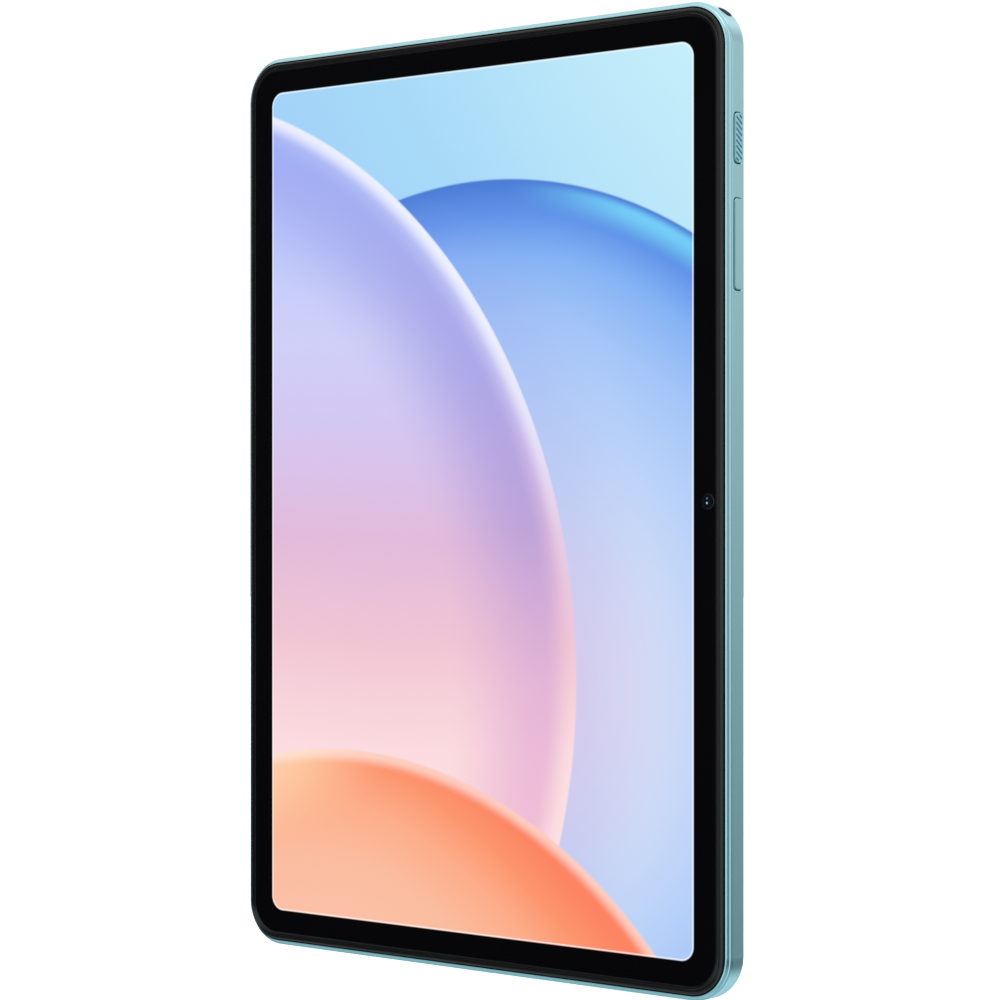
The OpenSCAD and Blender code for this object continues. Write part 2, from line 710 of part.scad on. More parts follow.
// Rubber boots that lead the sound from the holes in the wall to the microphones
module microphone_boots() color([0.15, 0.15, 0.15]) {
    difference() {
        block([61.4, 66.9], [mic_y - 0.8, mic_y + 0.8], [110.35, 111.1]);
        translate([upper_mic_hole_x, mic_y, 110.75]) cylinder(r = 0.45, h = 3);
        block([upper_mic_x, upper_mic_hole_x], [mic_y - 0.3, mic_y + 0.3], [110.6, 110.85]);
        translate([upper_mic_x, mic_y, 110]) cylinder(r = 0.4, h = 0.7);
    }
    difference() {
        block([lower_mic_x - 1.6, lower_mic_x + 1.6], [-3, board_y[0]], [-111.7, -109.35]);
        translate([lower_mic_x, lower_mic_y, -113]) cylinder(r = 0.4, h = 5);
    }
}

// ---- radio parts and screws ----

module antennas() color([0.85, 0.7, 0.35]) {
    block([-22, 4], [-1.3, -0.72], [103.5, 107.5]);
    block([12, 34], [-1.3, -0.72], [103.5, 107.5]);
}

module antenna_cables() color([0.1, 0.1, 0.1]) {
    for (x = [-6, 24]) translate([x, -2.1, 95]) union() {
        translate([0, 0, 3]) cylinder(r = 0.4, h = 8);
        translate([0, 0.4, 3.4]) rotate([90, 0, 0]) cylinder(r = 1, h = 0.8);
        translate([0, 0.8, 11]) rotate([90, 0, 0]) cylinder(r = 0.8, h = 1.2);
    }
}

module board_screws() color(steel)
    for (spot = concat(board_screw_spots, lower_screw_spots)) difference() {
        union() {
            post(spot[0], spot[1], screw_head_r, board_y[0] - 0.5, board_y[0]);
            post(spot[0], spot[1], screw_r, board_y[0] - 0.1, -0.3);
        }
        for (a = [0, 90])
            translate([spot[0], board_y[0] - 0.5, spot[1]]) rotate([0, a, 0])
                cube([1.5, 0.5, 0.25], center = true);
    }

rear_housing();
antenna_window();
bezel_frame();
cover_glass();
glass_adhesive();
lcd_cell();
backlight_unit();
display_flex();
power_button();
volume_button();
key_bracket();
key_switches();
key_flex();
card_tray();
card_socket();
eject_rod();
eject_lever();
camera_ring();
camera_glass();
rear_camera();
rear_camera_lens();
rear_camera_flex();
camera_gasket();
front_camera();
front_camera_lens();
light_sensor();
main_board();
processor_shield();
power_shield();
radio_shield();
processor_chip();
memory_chip();
power_chip();
radio_chip();
thermal_pad();
graphite_sheet();
lower_board();
usb_shell();
usb_tongue();
headphone_jack();
jack_contacts();
battery_cell_left();
battery_cell_right();
battery_board();
battery_tapes();
battery_flex();
board_link_flex();
upper_speaker_box();
lower_speaker_box();
upper_speaker_cone();
lower_speaker_cone();
speaker_magnets();
speaker_meshes();
upper_microphone();
lower_microphone();
microphone_boots();
antennas();
antenna_cables();
board_screws();
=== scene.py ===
"""Looks of the tablet computer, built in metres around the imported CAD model."""
import json
import math

import bmesh
import bpy
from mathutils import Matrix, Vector


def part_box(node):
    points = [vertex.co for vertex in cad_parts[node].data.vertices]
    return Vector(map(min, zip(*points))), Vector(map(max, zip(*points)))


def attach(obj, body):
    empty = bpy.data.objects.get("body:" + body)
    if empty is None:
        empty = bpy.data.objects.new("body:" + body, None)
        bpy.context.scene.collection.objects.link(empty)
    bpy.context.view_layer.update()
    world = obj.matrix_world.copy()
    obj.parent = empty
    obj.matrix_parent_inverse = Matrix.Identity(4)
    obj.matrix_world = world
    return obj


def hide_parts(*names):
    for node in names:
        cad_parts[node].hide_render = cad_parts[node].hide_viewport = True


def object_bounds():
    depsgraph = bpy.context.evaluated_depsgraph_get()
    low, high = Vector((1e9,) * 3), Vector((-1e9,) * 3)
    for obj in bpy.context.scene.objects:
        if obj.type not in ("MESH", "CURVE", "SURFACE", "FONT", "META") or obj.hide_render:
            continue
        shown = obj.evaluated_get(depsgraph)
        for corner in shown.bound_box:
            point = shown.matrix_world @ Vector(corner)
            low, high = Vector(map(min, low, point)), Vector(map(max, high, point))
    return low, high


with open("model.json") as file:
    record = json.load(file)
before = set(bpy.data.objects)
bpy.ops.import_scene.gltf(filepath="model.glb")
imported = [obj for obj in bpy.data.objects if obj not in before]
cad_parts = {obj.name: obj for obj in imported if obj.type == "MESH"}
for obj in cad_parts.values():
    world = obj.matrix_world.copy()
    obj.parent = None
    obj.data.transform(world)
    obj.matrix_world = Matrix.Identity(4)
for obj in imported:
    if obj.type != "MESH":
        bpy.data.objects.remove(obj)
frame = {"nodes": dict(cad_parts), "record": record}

cad_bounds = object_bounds()

MM = 0.001
_, housing_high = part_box("rear_housing")
glass_low, glass_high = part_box("cover_glass")
_, bezel_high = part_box("bezel_frame")

# Sizes in millimetres, read from the CAD frame where it has them.
HALF_W = housing_high.x / MM
HALF_H = housing_high.z / MM
FRONT_Y = glass_low.y / MM
FLOOR_Y = -0.7
CORNER_R = 10.7
LIP_W = 1.5
CAVITY_R = CORNER_R - LIP_W
# The bezel's rim lies in a rebate in the front of the wall
REBATE_W, REBATE_DEPTH = 0.35, 1.85
LIP_R = CAVITY_R + REBATE_W
GLASS_HALF_W = glass_high.x / MM
GLASS_HALF_H = glass_high.z / MM
GLASS_BACK_Y = glass_high.y / MM
BEZEL_BACK_Y = bezel_high.y / MM
SEAM = 0.08
SCREEN_HALF_W = 65.1
SCREEN_HALF_H = 104.15
SCREEN_CORNER_R = 3.5
CORNER_STEPS = 40
KEY_Y, KEY_W, KEY_GAP, KEY_PROUD = -3.25, 3.2, 0.12, 0.3


# ---- mesh helpers ----

def mesh_object(name, verts, faces, smooth_angle=32):
    """A mesh in millimetres as an object in metres, shaded smooth up to an angle."""
    mesh = bpy.data.meshes.new(name)
    mesh.from_pydata([Vector(v) * MM for v in verts], [], faces)
    bm = bmesh.new()
    bm.from_mesh(mesh)
    bmesh.ops.remove_doubles(bm, verts=bm.verts, dist=1e-7)
    bmesh.ops.recalc_face_normals(bm, faces=bm.faces)
    bm.to_mesh(mesh)
    bm.free()
    shade(mesh, smooth_angle)
    obj = bpy.data.objects.new(name, mesh)
    bpy.context.scene.collection.objects.link(obj)
    return obj


def shade(mesh, smooth_angle):
    mesh.polygons.foreach_set("use_smooth", [True] * len(mesh.polygons))
    mesh.set_sharp_from_angle(angle=math.radians(smooth_angle))


def outline(half_w, half_h, radius, steps=CORNER_STEPS):
    """A rounded rectangle as (corner centre x, z, outward direction x, z) stations."""
    stations = []
    for quarter, (sx, sz) in enumerate(((1, 1), (-1, 1), (-1, -1), (1, -1))):
        for i in range(steps + 1):
            a = math.radians(90 * (quarter + i / steps))
            stations.append((sx * (half_w - radius), sz * (half_h - radius),
                             math.cos(a), math.sin(a)))
    return stations


def sweep(name, profile, stations, closed=False, smooth_angle=32):
    """Carries a profile of (distance out, y) round an outline. An open one is capped flat."""
    rows = [[(cx + dx * u, y, cz + dz * u) for u, y in profile]
            for cx, cz, dx, dz in stations]
    n, m = len(rows), len(profile)
    verts = [v for row in rows for v in row]
    faces = []
    for i in range(n):
        k = (i + 1) % n
        for j in range(m if closed else m - 1):
            nj = (j + 1) % m
            faces.append((i * m + j, i * m + nj, k * m + nj, k * m + j))
    if not closed:
        faces.append([i * m for i in range(n)])
        faces.append([i * m + m - 1 for i in range(n)])
    return mesh_object(name, verts, faces, smooth_angle)


def arc(cx, cy, r, start, turn, steps):
    return [(cx + r * math.cos(math.radians(start + turn * i / steps)),
             cy + r * math.sin(math.radians(start + turn * i / steps)))
            for i in range(steps + 1)]


def stadium(half_len, half_w, radius, grow=0.0, steps=14):
    """Outline of a rounded slot as (along, across) points."""
    r = radius + grow
    points = []
    for quarter, (sa, sc) in enumerate(((1, 1), (-1, 1), (-1, -1), (1, -1))):
        for a, c in arc(sa * (half_len - radius), sc * (half_w - radius), r,
                        90 * quarter, 90, steps):
            points.append((a, c))
    return points


def loft(name, rings, smooth_angle=32):
    """A closed solid through rings of points that match one to one, capped at both ends."""
    m = len(rings[0])
    verts = [p for ring in rings for p in ring]
    faces = [(k * m + j, k * m + (j + 1) % m, (k + 1) * m + (j + 1) % m, (k + 1) * m + j)
             for k in range(len(rings) - 1) for j in range(m)]
    faces += [list(range(m)), [(len(rings) - 1) * m + j for j in range(m)]]
    return mesh_object(name, verts, faces, smooth_angle)


def lathe(name, profile, centre, steps=96, smooth_angle=32):
    """Turns a profile of (radius, y) about a line along Y through centre (x, z)."""
    rings = [[(centre[0] + r * math.cos(2 * math.pi * k / steps), y,
               centre[1] + r * math.sin(2 * math.pi * k / steps)) for k in range(steps)]
             for r, y in profile]
    return loft(name, rings, smooth_angle)


def ring_lathe(name, profile, centre, steps=128, smooth_angle=32):
    """As lathe, for a closed profile that doesn't touch its line."""
    stations = [(centre[0], centre[1], math.cos(2 * math.pi * k / steps),
                 math.sin(2 * math.pi * k / steps)) for k in range(steps)]
    return sweep(name, profile, stations, closed=True, smooth_angle=smooth_angle)


def cut(obj, cutters, smooth_angle=32, operation="DIFFERENCE"):
    """Takes the cutters out of obj, or joins them to it, and deletes them."""
    for cutter in cutters:
        modifier = obj.modifiers.new("cut", "BOOLEAN")
        modifier.operation = operation
        modifier.solver = "EXACT"
        modifier.object = cutter
    graph = bpy.context.evaluated_depsgraph_get()
    mesh = bpy.data.meshes.new_from_object(obj.evaluated_get(graph))
    obj.modifiers.clear()
    obj.data = mesh
    for cutter in cutters:
        bpy.data.objects.remove(cutter)
    shade(obj.data, smooth_angle)
    return obj


def weight_normals(obj):
    """Keeps big flat faces flat where they meet small rounded ones."""
    modifier = obj.modifiers.new("flat faces", "WEIGHTED_NORMAL")
    modifier.keep_sharp = True
    modifier.weight = 100


def bevel(obj, width, segments=3, angle=35):
    modifier = obj.modifiers.new("soft edges", "BEVEL")
    modifier.width = width * MM
    modifier.segments = segments
    modifier.limit_method = "ANGLE"
    modifier.angle_limit = math.radians(angle)
    modifier.harden_normals = False
    return obj


def slot_prism(half_len, half_w, radius, at, axis, levels):
    """A slot outline carried along X or Z through (place, grow) levels; at is its middle."""
    rings = []
    for place, grow in levels:
        ring = []
        for a, c in stadium(half_len, half_w, radius, grow):
            if axis == "x":
                ring.append((place, at[0] + c, at[1] + a))
            else:
                ring.append((at[0] + a, at[1] + c, place))
        rings.append(ring)
    return loft("slot", rings)


def tube_between(start, end, levels, steps=40):
    """A round solid from start towards end through (distance, radius) levels."""
    start, end = Vector(start), Vector(end)
    line = (end - start).normalized()
    side = line.cross(Vector((0, 1, 0) if abs(line.y) < 0.9 else (1, 0, 0))).normalized()
    up = line.cross(side)
    rings = [[start + line * d + (side * math.cos(2 * math.pi * k / steps)
                                  + up * math.sin(2 * math.pi * k / steps)) * r
              for k in range(steps)] for d, r in levels]
    return loft("tube", rings)


def capsule(start, end, r, steps=20):
    """A bar with half-ball ends."""
    length = (Vector(end) - Vector(start)).length
    ends = [(-r * math.cos(math.radians(a)), r * math.sin(math.radians(a)))
            for a in (4, 20, 40, 60, 80, 90)]
    levels = ends + [(length - d, q) for d, q in reversed(ends)]
    return tube_between(start, end, levels, steps)


def block(xs, ys, zs):
    verts = [(x, y, z) for x in xs for y in ys for z in zs]
    faces = [(0, 1, 3, 2), (4, 6, 7, 5), (0, 4, 5, 1), (2, 3, 7, 6), (0, 2, 6, 4), (1, 5, 7, 3)]
    return mesh_object("block", verts, faces)


# ---- material nodes ----

def linear(rgb):
    """Display colour (0 to 255) as linear light."""
    return [((c / 255 + 0.055) / 1.055) ** 2.4 if c > 10 else c / 3294.6 for c in rgb]


class Number:
    """A node output that takes part in arithmetic."""

    def __init__(self, nodes, socket):
        self.nodes = nodes
        self.socket = socket

    def _math(self, operation, *others):
        node = self.nodes.new("ShaderNodeMath")
        node.operation = operation
        for i, value in enumerate((self, *others)):
            self.nodes.put(node.inputs[i], value)
        return Number(self.nodes, node.outputs[0])

    def __add__(self, other):
        return self._math("ADD", other)

    def __sub__(self, other):
        return self._math("SUBTRACT", other)

    def __rsub__(self, other):
        return (self * -1) + other

    def __mul__(self, other):
        return self._math("MULTIPLY", other)

    def __truediv__(self, other):
        return self._math("DIVIDE", other)

    def abs(self):
        return self._math("ABSOLUTE")

    def sqrt(self):
        return self._math("SQRT")

    def sin(self):
        return self._math("SINE")

    def max(self, other):
        return self._math("MAXIMUM", other)

    def min(self, other):
        return self._math("MINIMUM", other)

    def step(self, low, high, smooth=True):
        """0 below low, 1 above high."""
        node = self.nodes.new("ShaderNodeMapRange")
        node.interpolation_type = "SMOOTHSTEP" if smooth else "LINEAR"
        self.nodes.put(node.inputs["Value"], self)
        node.inputs["From Min"].default_value = low
        node.inputs["From Max"].default_value = high
        return Number(self.nodes, node.outputs[0])

    def ramp(self, low, high, stops):
        """Display colours at places along this number."""
        node = self.nodes.new("ShaderNodeValToRGB")
        node.color_ramp.interpolation = "EASE" if len(stops) == 2 else "LINEAR"
        self.nodes.put(node.inputs[0], self.step(low, high, smooth=False))
        elements = node.color_ramp.elements
        for i, (place, colour) in enumerate(stops):
            if i > 1:
                elements.new(1.0)
            elements[min(i, len(elements) - 1)].position = (place - low) / (high - low)
            elements[min(i, len(elements) - 1)].color = (*linear(colour), 1)
        return Number(self.nodes, node.outputs[0])


class Nodes:
    """Builds one node tree."""

    def __init__(self, tree):
        self.tree = tree
        tree.nodes.clear()

    def new(self, kind):
        return self.tree.nodes.new(kind)

    def put(self, socket, value):
        if isinstance(value, Number):
            self.tree.links.new(value.socket, socket)
        elif isinstance(value, (tuple, list)) and len(value) == 3 and socket.type == "RGBA":
            socket.default_value = (*value, 1)
        else:
            socket.default_value = value

    def object_place(self):
        """Object coordinates in millimetres as (x, y, z)."""
        source = self.new("ShaderNodeTexCoord").outputs["Object"]
        node = self.new("ShaderNodeSeparateXYZ")
        self.tree.links.new(source, node.inputs[0])
        return [Number(self, node.outputs[i]) * 1000 for i in range(3)]

    def noise(self, size, detail=2.0, stretch=(1, 1, 1), rough=0.5):
        """Noise from 0 to 1 with features of about size millimetres."""
        source = self.new("ShaderNodeTexCoord").outputs["Object"]
        scale = self.new("ShaderNodeVectorMath")
        scale.operation = "MULTIPLY"
        scale.inputs[1].default_value = stretch
        self.tree.links.new(source, scale.inputs[0])
        node = self.new("ShaderNodeTexNoise")
        self.tree.links.new(scale.outputs[0], node.inputs["Vector"])
        node.inputs["Scale"].default_value = 1000 / size
        node.inputs["Detail"].default_value = detail
        node.inputs["Roughness"].default_value = rough
        return Number(self, node.outputs["Fac"])

    def mix(self, share, first, second):
        node = self.new("ShaderNodeMix")
        node.data_type = "RGBA"
        self.put(node.inputs["Factor"], share)
        self.put(node.inputs["A"], first)
        self.put(node.inputs["B"], second)
        return Number(self, node.outputs["Result"])

    def bump(self, height, depth):
        """A normal from a height of 0 to 1 that stands for depth millimetres."""
        node = self.new("ShaderNodeBump")
        node.inputs["Distance"].default_value = depth * MM
        self.put(node.inputs["Height"], height)
        return Number(self, node.outputs[0])


def material(name, **sockets):
    """A Principled material. Linked values are passed by paint()."""
    made = bpy.data.materials.new(name)
    made.use_nodes = True
    nodes = Nodes(made.node_tree)
    shader = nodes.new("ShaderNodeBsdfPrincipled")
    out = nodes.new("ShaderNodeOutputMaterial")
    nodes.tree.links.new(shader.outputs[0], out.inputs[0])
    paint(nodes, shader, **sockets)
    return made, nodes, shader


def paint(nodes, shader, **sockets):
    for key, value in sockets.items():
        nodes.put(shader.inputs[key.replace("_", " ")], value)


def grained(name, colour, metallic=0.0, roughness=0.4, grain=0.3, depth=0.004,
            tint=0.06, stretch=(1, 1, 1), **sockets):
    """A material with fine grain in its colour, gloss and surface."""
    made, nodes, shader = material(name, Metallic=metallic, **sockets)
    fine = nodes.noise(grain, 3, stretch)
    broad = nodes.noise(grain * 60, 2, stretch)
    low = [c * (1 - tint) for c in linear(colour)]
    high = [min(1, c * (1 + tint)) for c in linear(colour)]
    paint(nodes, shader, Base_Color=nodes.mix(fine * 0.5 + broad * 0.5, low, high),
          Roughness=(fine - 0.5) * 0.12 + (broad - 0.5) * 0.08 + roughness,
          Normal=nodes.bump(fine, depth))
    return made


# ---- materials ----

def anodised(name, colour, roughness=0.34):
    """Bead-blasted metal under a coloured anodic film, finer where it is cut on the front lip.

    The key slots and the power key's grooves are painted a deeper teal, as shade in those
    recesses."""
    made, nodes, shader = material(name, Metallic=1.0)
    x, y, z = nodes.object_place()
    grit = nodes.noise(0.12, 3, rough=0.7)
    cloud = nodes.noise(18, 3)
    lip = y.step(FRONT_Y + 2.6, FRONT_Y + 1.9)
    base = nodes.mix(cloud, [c * 0.985 for c in linear(colour)],
                     [min(1, c * 1.015) for c in linear(colour)])
    speck = nodes.mix(grit.step(0.25, 0.75), (0.93, 0.93, 0.93), (1.0, 1.0, 1.0))
    tinted = nodes.new("ShaderNodeMix")
    tinted.data_type = "RGBA"
    tinted.blend_type = "MULTIPLY"
    tinted.inputs["Factor"].default_value = 0.8
    nodes.put(tinted.inputs["A"], base)
    nodes.put(tinted.inputs["B"], speck)
    # Painted shade: the key slots and the power key's grooves get a deeper teal where shade falls
    # in them.
    key_rows = (1 - (y - KEY_Y).abs().step(1.85, 1.95)) * z.step(44, 45)
    key_rows = key_rows * (1 - z.step(90, 91)) * x.step(HALF_W - 2, HALF_W - 1)
    in_slot = 1 - x.step(HALF_W - 0.16, HALF_W - 0.02)
    key_face = 1 - (y - KEY_Y).abs().step(KEY_W / 2 - 0.3, KEY_W / 2 - 0.2)
    in_groove = x.step(HALF_W + 0.02, HALF_W + 0.06) * (
        1 - x.step(HALF_W + KEY_PROUD - 0.12, HALF_W + KEY_PROUD - 0.02)) * key_face
    painted_slot_shade = key_rows * in_slot.max(in_groove)
    film = nodes.mix(painted_slot_shade, Number(nodes, tinted.outputs["Result"]), linear((56, 164, 188)))
    paint(nodes, shader, Base_Color=film,
          Roughness=(grit - 0.5) * 0.1 + roughness - lip * 0.1,
          Normal=nodes.bump(grit * (1 - lip * 0.7), 0.0035))
    return made


def rounded_distance(x, z, half_w, half_h, radius):
    """Distance outside a rounded rectangle, negative inside."""
    dx = x.abs() - (half_w - radius)
    dz = z.abs() - (half_h - radius)
    outside = (dx.max(0) * dx.max(0) + dz.max(0) * dz.max(0)).sqrt()
    return outside + dx.max(dz).min(0) - radius


def disc_depth(nodes, x, z, cx, cz, r):
    """How far inside a disc a point is, in millimetres."""
    dx, dz = x - cx, z - cz
    return ((dx * dx + dz * dz).sqrt() - r) * -1


def picture(nodes, x, z):
    """A plain abstract screen picture: three soft overlapping discs on a pale sky."""
    wave = (nodes.noise(90, 1) - 0.5) * 26
    sky = (x * 0.5 + z * 0.35 + wave).ramp(-60, 75, (
        (-60, (205, 214, 244)), (-10, (158, 206, 247)), (25, (168, 218, 248)),
        (75, (200, 240, 250))))
    # Blue disc, deep at its rim and pale pink far inside
    blue = disc_depth(nodes, x, z, 4, -45, 122)
    fill = (blue + wave * 0.4).ramp(0, 150, (
        (0, (74, 124, 214)), (9, (98, 148, 233)), (18, (131, 178, 244)), (32, (162, 196, 247)),
        (48, (182, 208, 249)), (66, (203, 217, 246)), (86, (226, 219, 241)),
        (112, (246, 213, 233)), (150, (251, 205, 222))))
    edge = blue.step(0, 2.4) * (1 - blue.step(2.4, 9)) * (x + z * 0.2).step(25, 66)
    fill = nodes.mix(edge * 0.85, fill, linear((120, 214, 252)))
    out = nodes.mix(blue.step(-0.35, 0.35), sky, fill)
    # Lilac disc, with a shade band inside a thin bright rim
    lilac = disc_depth(nodes, x, z, -118, -42, 150)
    body = (z + wave * 0.5).ramp(-104, 98, (
        (-104, (252, 226, 224)), (-60, (251, 219, 223)), (-32, (240, 196, 211)),
        (-8, (226, 187, 220)), (18, (211, 199, 242)), (40, (207, 208, 248)),
        (65, (192, 202, 250)), (98, (176, 188, 246))))
    shade_colour = z.ramp(-104, 90, (
        (-104, (246, 188, 214)), (-45, (226, 176, 214)), (-5, (182, 158, 216)),
        (30, (166, 160, 228)), (90, (158, 172, 244))))
    shade = lilac.step(0.5, 9) * (1 - lilac.step(9, 40))
    body = nodes.mix(shade * 0.85, body, shade_colour)
    glow = (1 - lilac.step(0.6, 5)) * z.step(-45, 60)
    body = nodes.mix(glow * 0.8, body, linear((246, 248, 255)))
    shadow = lilac.step(-26, 0) * (1 - z.step(45, 80)) * 0.3
    out = nodes.mix(shadow, out, linear((150, 165, 235)))
    out = nodes.mix(lilac.step(-0.35, 0.35), out, body)
    # Orange disc low on the left
    warm = disc_depth(nodes, x, z, -40, -190, 128)
    coral = (warm + wave * 0.6 - x * 0.12).ramp(0, 70, (
        (0, (252, 132, 98)), (9, (252, 148, 108)), (20, (252, 172, 136)),
        (34, (251, 188, 158)), (70, (250, 198, 178))))
    cream = (1 - (x + warm * 0.6).step(-62, -22)) * (1 - warm.step(4, 26))
    coral = nodes.mix(cream * 0.8, coral, linear((253, 212, 172)))
    rim = (1 - warm.step(0.5, 4)) * 0.6
    coral = nodes.mix(rim, coral, linear((254, 236, 228)))
    return nodes.mix(warm.step(-0.35, 0.35), out, coral)


def screen_glass():
    """Glass over black print, with the lit picture behind the clear area."""
    made, nodes, shader = material("screen_glass", Roughness=0.05)
    shader.inputs["IOR"].default_value = 1.45
    shader.inputs["Specular IOR Level"].default_value = 0.12
    shader.inputs["Emission Strength"].default_value = 1.0
    x, y, z = nodes.object_place()
    out = rounded_distance(x, z, SCREEN_HALF_W, SCREEN_HALF_H, SCREEN_CORNER_R)
    lit = (1 - out.step(-0.12, 0.12, smooth=False)) * y.step(FRONT_Y + 0.09, FRONT_Y + 0.03)
    edge_line = out.step(-0.5, -0.3) * (1 - out.step(-0.1, 0.1))
    shown = nodes.mix(edge_line * 0.6, picture(nodes, x, z), (1.0, 1.0, 1.0))
    film = nodes.noise(60, 2)
    paint(nodes, shader, Emission_Color=nodes.mix(lit, (0.0, 0.0, 0.0), shown),
          Base_Color=nodes.mix(film, (0.0012, 0.0012, 0.0016), (0.0022, 0.0022, 0.0028)),
          Roughness=film * 0.02 + 0.04)
    return made


def camera_window_material(name, centre, rings):
    """Black glass over a lens: tinted rings round its middle, and two glints of the lens coating
    painted on as emission, standing in for its reflections.
    """
    made, nodes, shader = material(name, Roughness=0.06, Coat_Weight=1.0, Coat_Roughness=0.02)
    shader.inputs["Emission Strength"].default_value = 1.0
    x, y, z = nodes.object_place()
    dx, dz = x - centre[0], z - centre[1]
    away = (dx * dx + dz * dz).sqrt()
    paint(nodes, shader, Base_Color=away.ramp(0, rings[-1][0], rings),
          Roughness=nodes.noise(0.4, 2) * 0.04 + 0.05)
    outer = rings[-1][0]
    # Painted highlights: two glints drawn as emission, for reflections on the lens coating.
    painted_glints = (0.0, 0.0, 0.0)
    for sx, sz, size, tint in ((-0.08, 0.4, 0.17, (70, 140, 205)),
                               (-0.08, -0.2, 0.19, (170, 226, 255))):
        ex, ez = dx - sx * outer, dz - sz * outer
        spot = 1 - (ex * ex * 1.3 + ez * ez).sqrt().step(size * outer * 0.3, size * outer)
        painted_glints = nodes.mix(spot, painted_glints, linear(tint))
    paint(nodes, shader, Emission_Color=painted_glints)
    return made


def mesh_cloth(name):
    """Fine woven acoustic mesh: round holes between bright wires."""
    made, nodes, shader = material(name, Metallic=0.8)
    x, y, z = nodes.object_place()
    across = (x * 16).sin() * (y * 16).sin()
    wires = across.abs().step(0.1, 0.5)
    paint(nodes, shader, Base_Color=nodes.mix(wires, (0.09, 0.09, 0.1), (0.006, 0.006, 0.007)),
          Roughness=wires * 0.3 + 0.4, Normal=nodes.bump(1 - wires, 0.05))
    return made


def circuit(name):
    """Solder mask over copper tracks, with tinned pads."""
    made, nodes, shader = material(name)
    x, y, z = nodes.object_place()
    lanes = ((x * 5.2).sin() * (z * 1.3 + nodes.noise(9, 1) * 7).sin()).step(0.35, 0.55)
    lanes = lanes * nodes.noise(14, 2).step(0.4, 0.55)
    pads = ((x * 2.4).sin() * (z * 2.4).sin()).step(0.86, 0.93) * nodes.noise(22, 1).step(0.5, 0.6)
    mask = nodes.mix(lanes, linear((22, 92, 66)), linear((44, 128, 92)))
    paint(nodes, shader, Base_Color=nodes.mix(pads, mask, linear((196, 186, 150))),
          Metallic=pads * 0.9, Roughness=nodes.noise(0.8, 2) * 0.1 + 0.32 - pads * 0.08,
          Normal=nodes.bump(lanes + pads, 0.03))
    return made


def brushed(name, colour, along, roughness=0.3):
    """Metal brushed along one axis."""
    stretch = {"x": (0.04, 1, 1), "z": (1, 1, 0.04)}[along]
    return grained(name, colour, 1.0, roughness, 0.25, 0.004, 0.1, stretch)


MINT = (168, 213, 221)
metal = anodised("anodised_mint", MINT)
LOOKS = {
    "anodised_mint": metal,
    "mint_plastic": grained("mint_paint", (168, 212, 220), 0.9, 0.38, 0.14, 0.003, 0.02),
    "black_plastic": grained("black_plastic", (17, 17, 19), 0.0, 0.2, 0.5, 0.002, 0.1,
                             Coat_Weight=0.5, Coat_Roughness=0.12),
    "black_glass": grained("black_glass", (6, 6, 8), 0.0, 0.06, 3, 0.0002, 0.15),
    "adhesive": grained("clear_adhesive", (196, 196, 198), 0.0, 0.5, 0.6, 0.01),
    "display_cell": grained("display_cell", (52, 60, 92), 0.0, 0.12, 2, 0.001),
    "light_guide": grained("light_guide", (226, 228, 232), 0.0, 0.35, 0.4, 0.005),
    "flex_film": grained("flex_film", (186, 118, 44), 0.0, 0.28, 0.5, 0.006, 0.14,
                         (1, 1, 0.08), Coat_Weight=0.4),
    "steel": brushed("brushed_steel", (196, 198, 202), "x"),
    "lens_glass": grained("coated_lens", (20, 30, 78), 0.0, 0.05, 1.4, 0.0002, 0.3,
                          Coat_Weight=1.0, Coat_Roughness=0.02),
    "rubber": grained("rubber", (38, 38, 40), 0.0, 0.75, 0.18, 0.02, 0.16),
    "board": circuit("circuit_board"),
    "graphite": grained("graphite", (64, 64, 67), 0.5, 0.42, 0.3, 0.006, 0.14, (1, 1, 0.1)),
    "gold_contact": brushed("gold_plate", (226, 190, 104), "z", 0.22),
    "battery_foil": grained("battery_foil", (92, 95, 100), 0.85, 0.36, 2.2, 0.03, 0.1),
    "cable": grained("cable_jacket", (28, 28, 30), 0.0, 0.5, 0.2, 0.01, 0.14),
}
SPECIAL_LOOKS = {"speaker_meshes": mesh_cloth("speaker_mesh")}

for part in frame["record"]["subparts"]:
    cad = frame["nodes"][part["node"]]
    look = SPECIAL_LOOKS.get(part["node"], LOOKS[part["material_slot"]])
    cad.data.materials.clear()
    cad.data.materials.append(look)


def piece(obj, name, body, slot_name, look, *replaced):
    """Names a finished piece and ties it to the frame."""
    obj.name = name
    obj.data.name = name
    obj.data.materials.clear()
    obj.data.materials.append(look)
    weight_normals(obj)
    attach(obj, body)
    if replaced:
        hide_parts(*replaced)
    return obj


# ---- housing ----

ROUND_BACK = 1.4
CHAMFER = 0.12
POWER_Z, POWER_LEN, POWER_R = 81.8, 11.25, 1.05
VOLUME_Z, VOLUME_LEN, VOLUME_R = 57.9, 20.5, 0.8
GROOVE_SLANT = math.radians(34)
PORT_Y = -2.85
JACK_ANGLE = math.radians(50)
CAMERA_X, CAMERA_Z, RING_R, RING_H = 52.5, 91.5, 9.2, 1.3
TRAY_Y, TRAY_Z, TRAY_LEN, TRAY_W = -2.9, 83.6, 15.2, 2.3
TRAY_BACK_Y, TRAY_END, CARD_Z = -2.95, -HALF_W + 19.9, 84
GRILLE_X, GRILLE_PITCH, GRILLE_R = -43.5, 3.0, 0.65
WINDOW_Z, WINDOW_W, WINDOW_H, WINDOW_R = 105.5, 74.1, 7.1, 3.0
GROOVE_COUNT, GROOVE_PITCH, GROOVE_R, GROOVE_DEPTH = 9, 1.33, 0.29, 0.2
USB_HALF_LEN, USB_HALF_W = 4.62, 1.78
JACK_R, JACK_NOSE_R = 1.78, 2.25
MIC_R, MIC_CHAMFER = 0.5, 0.05
UPPER_MIC, LOWER_MIC = (66.2, -3.6), (30, -2.3)
CARD_HALF_W, CARD_LEN, CARRIER_HALF_W, CARRIER_T = 5.55, 15.1, 6.2, 0.9
PINHOLE_R = 0.45

outline_stations = outline(HALF_W, HALF_H, CORNER_R)

